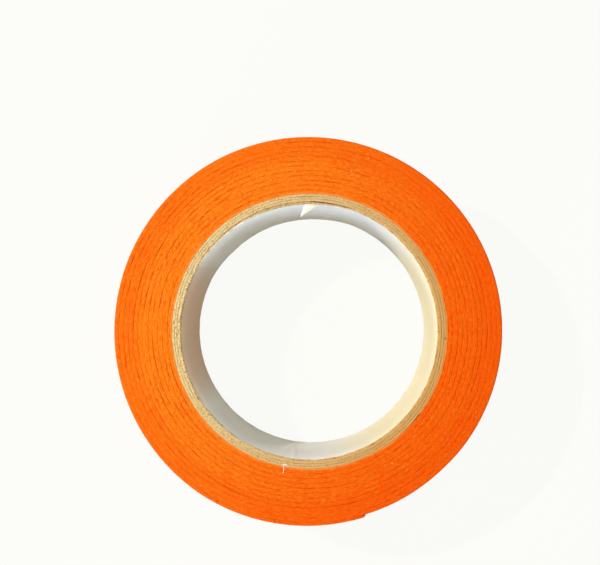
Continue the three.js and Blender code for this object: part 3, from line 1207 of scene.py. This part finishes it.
def fuzz_paths(tape, first, last, count, seed):
    """Short felt fibres that stand a little out of the strip's edges and its outer side."""
    draw = np.random.RandomState(seed)
    paths = []
    for _ in range(count):
        place = draw.uniform(first, last)
        seat = float(seat_radius(tape, np.array([place]))[0])
        thick = float(strip_thickness(tape, np.array([place]))[0])
        reach = draw.uniform(0.25, 0.75) * MM
        curl = draw.uniform(-0.12, 0.12) * MM
        heading = draw.normal(90.0, 28.0)
        lift = draw.uniform(0.0, 0.09) * MM
        face = draw.uniform()
        if face < UPPER_FUZZ:
            level = ROLL_WIDTH + float(turn_lift(tape, np.array([place]))[0]) - 0.004 * MM
            radius = seat + thick * draw.uniform(0.15, 0.85)
            paths.append(fibre_path(radius, place, heading, reach, curl, level, lift))
        elif face < FACE_FUZZ:
            radius = seat + thick * draw.uniform(0.15, 0.85)
            paths.append(fibre_path(radius, place, heading, reach, curl, 0.03 * MM))
        elif place > math.degrees(tape.end_angle) - 360.0:
            level = draw.uniform(0.3, ROLL_WIDTH / MM - 0.3) * MM
            path = fibre_path(seat + thick, place, heading, reach, 0.0, level)
            outwards = from_polar(1.0, place, 0.0)
            stand = np.linspace(-0.3, 1.0, 5)[:, None] * draw.uniform(0.02, 0.1) * MM
            path = path + outwards * stand
            path[:, 2] += np.linspace(0.0, curl * 4, 5)
            paths.append(path)
    return paths


def fuzz_piece(name, tape, material, first, last, count, path_seed, size_seed):
    """The fuzz on one stretch of the strip."""
    paths = fuzz_paths(tape, first, last, count, path_seed)
    sizes = np.random.RandomState(size_seed).uniform(*FUZZ_RADII, len(paths)) * MM
    return tubes_piece(name, paths, sizes, material, sides=3)


def threads_piece(name, threads, material):
    """Loose threads that cling to the upper face."""
    paths = []
    for thread in threads:
        height = ROLL_WIDTH + thread.height
        curve = (thread.heading, thread.reach, thread.curl)
        paths.append(fibre_path(thread.radius, thread.angle, *curve, height, steps=9))
    sizes = [thread.thickness for thread in threads]
    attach(tubes_piece(name, paths, sizes, material), "roll")


# ---------------------------------------------------------------------------------------------
# Operators
# ---------------------------------------------------------------------------------------------


class GRIPROLL_OT_windings(bpy.types.Operator):
    """Wind the tape's turns on the core"""

    bl_idname = "griproll.windings"
    bl_label = "Wind the turns"

    def execute(self, context):
        tape = context.scene.griproll_tape
        outer = float(cover_radius(tape, np.array([RIM_PROBE]))[0])
        if abs(outer + CAD_BOX[0][0]) > FIT_TOLERANCE:
            raise RuntimeError("the strip's settings no longer match the packed frame")
        place = steps_between(strip_start(tape), windings_end(tape), TURN_STEP)
        piece = strip_piece("felt_windings", tape, place, wound=True)
        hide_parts("tape_windings")
        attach(piece, "roll")
        return {"FINISHED"}


class GRIPROLL_OT_free_end(bpy.types.Operator):
    """Lay the strip's free end on the roll, in lengths, one for each peel joint"""

    bl_idname = "griproll.free_end"
    bl_label = "Lay the free end"

    def execute(self, context):
        tape = context.scene.griproll_tape
        for index in range(len(PEEL_JOINTS)):
            place = free_end_places(tape, index)
            piece = strip_piece(f"felt_end_{index + 1}", tape, place, wound=False)
            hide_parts(f"tape_end_{index + 1}")
            bend_with_hinge(piece, tape, index)
        return {"FINISHED"}


class GRIPROLL_OT_core(bpy.types.Operator):
    """Roll the brown plies and the white liner of the core"""

    bl_idname = "griproll.core"
    bl_label = "Roll the core"

    def execute(self, context):
        core = context.scene.griproll_core
        kraft = kraft_material(core)
        paper = paper_material(core)
        for index in range(core.ply_count):
            core_ply(core, index, kraft)
        core_liner(core, context.scene.griproll_tape.turn_gap, paper)
        torn_flap(core, paper)
        return {"FINISHED"}


class GRIPROLL_OT_fuzz(bpy.types.Operator):
    """Raise short fibres on the felt"""

    bl_idname = "griproll.fuzz"
    bl_label = "Raise the fuzz"

    def execute(self, context):
        tape = context.scene.griproll_tape
        fuzz = thread_material("felt_fibre", tape.felt, tape.felt_light)
        first = strip_start(tape) + 60.0
        last = windings_end(tape)
        seeds = (FUZZ_SEED, FUZZ_SEED + 1)
        piece = fuzz_piece("windings_fuzz", tape, fuzz, first, last, FUZZ_COUNT, *seeds)
        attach(piece, "roll")
        for index in range(len(PEEL_JOINTS)):
            place = free_end_places(tape, index)
            seed = FUZZ_SEED + 10 + index
            name = f"end_fuzz_{index + 1}"
            stretch = (place[0], place[-1], END_FUZZ_COUNT)
            piece = fuzz_piece(name, tape, fuzz, *stretch, seed, seed)
            bend_with_hinge(piece, tape, index)
        return {"FINISHED"}


class GRIPROLL_OT_threads(bpy.types.Operator):
    """Scatter the loose threads and hairs that cling to the upper face"""

    bl_idname = "griproll.threads"
    bl_label = "Scatter loose threads"

    def execute(self, context):
        white = thread_material("white_thread", tone(252, 248, 236), tone(240, 226, 196))
        pale = thread_material("pale_fibre", tone(255, 160, 70), tone(255, 190, 120))
        dark = thread_material("dark_hair", tone(120, 90, 60), tone(84, 62, 40))
        threads_piece("thread_tuft", WHITE_TUFT, white)
        threads_piece("pale_fibres", PALE_FIBRES, pale)
        threads_piece("core_hairs", CORE_HAIRS, dark)
        return {"FINISHED"}


def facing(position, target):
    """The rotation of a camera or lamp that looks at a target, with the view's top towards +Y."""
    ahead = (Vector(target) - Vector(position)).normalized()
    right = ahead.cross(Vector((0.0, 1.0, 0.0))).normalized()
    return Matrix((right, right.cross(ahead), -ahead)).transposed().to_quaternion()


def lamp(name, power, size, colour, position, target):
    """A soft rectangular lamp that faces its target. Size is its width and height."""
    light = bpy.data.lights.new(name, "AREA")
    light.energy = power
    light.shape = "RECTANGLE"
    light.size, light.size_y = size
    light.color = colour
    holder = bpy.data.objects.new(name, light)
    holder.location = position
    holder.rotation_mode = "QUATERNION"
    holder.rotation_quaternion = facing(position, target)
    bpy.context.scene.collection.objects.link(holder)


def power_for(level, distance):
    """Lamp power that lights a white surface facing it to this level."""
    return level * math.pi**2 * distance**2


def camera_ray(nodes):
    """1 for rays that show the stage itself: seen directly, in gloss or through glass."""
    seen = nodes.node("ShaderNodeLightPath", output="Is Camera Ray")
    seen = seen + nodes.node("ShaderNodeLightPath", output="Is Glossy Ray")
    seen = seen + nodes.node("ShaderNodeLightPath", output="Is Transmission Ray")
    return nodes.node("ShaderNodeClamp", {}, {"Value": seen})


class GRIPROLL_OT_stage(bpy.types.Operator):
    """Set the camera, the pale floor and the soft lamps"""

    bl_idname = "griproll.stage"
    bl_label = "Set the stage"

    def execute(self, context):
        stage = context.scene.griproll_stage
        context.scene.view_settings.view_transform = "Standard"
        self.add_camera(context, stage)
        self.add_floor(stage)
        self.add_world(context, stage)
        self.add_lamps(stage)
        return {"FINISHED"}

    def add_camera(self, context, stage):
        camera = bpy.data.cameras.new("camera")
        camera.lens = stage.lens
        camera.clip_start = 0.005
        camera.clip_end = 20.0
        holder = bpy.data.objects.new("camera", camera)
        position = Vector((stage.camera_right, stage.camera_up, ROLL_WIDTH + stage.camera_height))
        target = Vector((stage.aim_right, stage.aim_up, ROLL_WIDTH))
        holder.location = position
        holder.rotation_mode = "QUATERNION"
        holder.rotation_quaternion = facing(position, target)
        context.scene.collection.objects.link(holder)
        context.scene.camera = holder

    def add_floor(self, stage):
        signs = np.array([[-1, -1], [1, -1], [1, 1], [-1, 1]])
        corners = np.column_stack([signs * FLOOR_REACH, np.full(4, -FLOOR_DEPTH)])
        material = bpy.data.materials.new("pale_floor")
        material.use_nodes = True
        nodes = Nodes(material.node_tree)
        matt = nodes.node("ShaderNodeBsdfDiffuse", {}, {"Color": opaque(stage.floor_matt)})
        bright = nodes.node("ShaderNodeEmission", {}, {"Color": opaque(stage.floor), "Strength": 1.0})
        share = camera_ray(nodes) * (1.0 - stage.shadow_share)
        surface = nodes.node("ShaderNodeMixShader", {}, {0: share, 1: matt, 2: bright})
        nodes.node("ShaderNodeOutputMaterial", {}, {"Surface": surface})
        floor = make_mesh("floor", corners, [np.array([[0, 1, 2, 3]])], {}, [material])

    def add_world(self, context, stage):
        world = bpy.data.worlds.new("soft_sky")
        world.use_nodes = True
        context.scene.world = world
        nodes = Nodes(world.node_tree)
        sky = nodes.node(
            "ShaderNodeBackground",
            {},
            {"Color": opaque(stage.sky), "Strength": stage.sky_level},
        )
        white = nodes.node("ShaderNodeBackground", {}, {"Color": opaque(stage.floor), "Strength": 0.97})
        surface = nodes.node("ShaderNodeMixShader", {}, {0: camera_ray(nodes), 1: sky, 2: white})
        nodes.node("ShaderNodeOutputWorld", {}, {"Surface": surface})

    def add_lamps(self, stage):
        middle = (0.0, 0.0, ROLL_WIDTH)
        out = stage.key_distance * math.sin(stage.key_tilt)
        up = stage.key_distance * math.cos(stage.key_tilt)
        key_at = (
            out * math.cos(stage.key_azimuth),
            out * math.sin(stage.key_azimuth),
            ROLL_WIDTH + up,
        )
        power = power_for(stage.key_level, stage.key_distance) / math.cos(stage.key_tilt)
        lamp("key", power, (stage.key_size, stage.key_size), stage.key, key_at, middle)
        power = power_for(stage.fill_level, FILL_DISTANCE)
        lamp("fill", power, (FILL_SIZE, FILL_SIZE), stage.fill, FILL_PLACE, middle)
        power = power_for(stage.side_level, SIDE_DISTANCE)
        size = (SIDE_WIDTH, 0.7 * ROLL_WIDTH)
        for number, azimuth in enumerate(SIDE_AZIMUTHS):
            low = from_polar(SIDE_DISTANCE, azimuth, 0.4 * ROLL_WIDTH)
            lamp(f"side_{number + 1}", power, size, stage.side, low, (0.0, 0.0, low[2]))


class GRIPROLL_PT_panel(bpy.types.Panel):
    """Settings and steps of the grip tape roll"""

    bl_idname = "GRIPROLL_PT_panel"
    bl_label = "Grip Tape Roll"
    bl_space_type = "VIEW_3D"
    bl_region_type = "UI"
    bl_category = "Grip Tape"

    def draw(self, context):
        for title, name in SETTINGS_NAMES:
            box = self.layout.box()
            box.label(text=title)
            settings = getattr(context.scene, name)
            for key in settings.bl_rna.properties.keys():
                if key not in ("rna_type", "name"):
                    box.prop(settings, key)
        for operator in OPERATORS:
            self.layout.operator(operator.bl_idname)


SETTINGS_NAMES = (
    ("Tape", "griproll_tape"),
    ("Core", "griproll_core"),
    ("Stage", "griproll_stage"),
)
SETTINGS = (TapeSettings, CoreSettings, StageSettings)
OPERATORS = (
    GRIPROLL_OT_stage,
    GRIPROLL_OT_windings,
    GRIPROLL_OT_free_end,
    GRIPROLL_OT_core,
    GRIPROLL_OT_fuzz,
    GRIPROLL_OT_threads,
)


def register():
    for kind in SETTINGS + OPERATORS + (GRIPROLL_PT_panel,):
        bpy.utils.register_class(kind)
    for (_, name), kind in zip(SETTINGS_NAMES, SETTINGS):
        setattr(bpy.types.Scene, name, PointerProperty(type=kind))


def unregister():
    for _, name in SETTINGS_NAMES:
        delattr(bpy.types.Scene, name)
    for kind in reversed(SETTINGS + OPERATORS + (GRIPROLL_PT_panel,)):
        bpy.utils.unregister_class(kind)


def main():
    register()
    bpy.ops.griproll.stage()
    bpy.ops.griproll.windings()
    bpy.ops.griproll.free_end()
    bpy.ops.griproll.core()
    bpy.ops.griproll.fuzz()
    bpy.ops.griproll.threads()


if __name__ == "__main__":
    main()
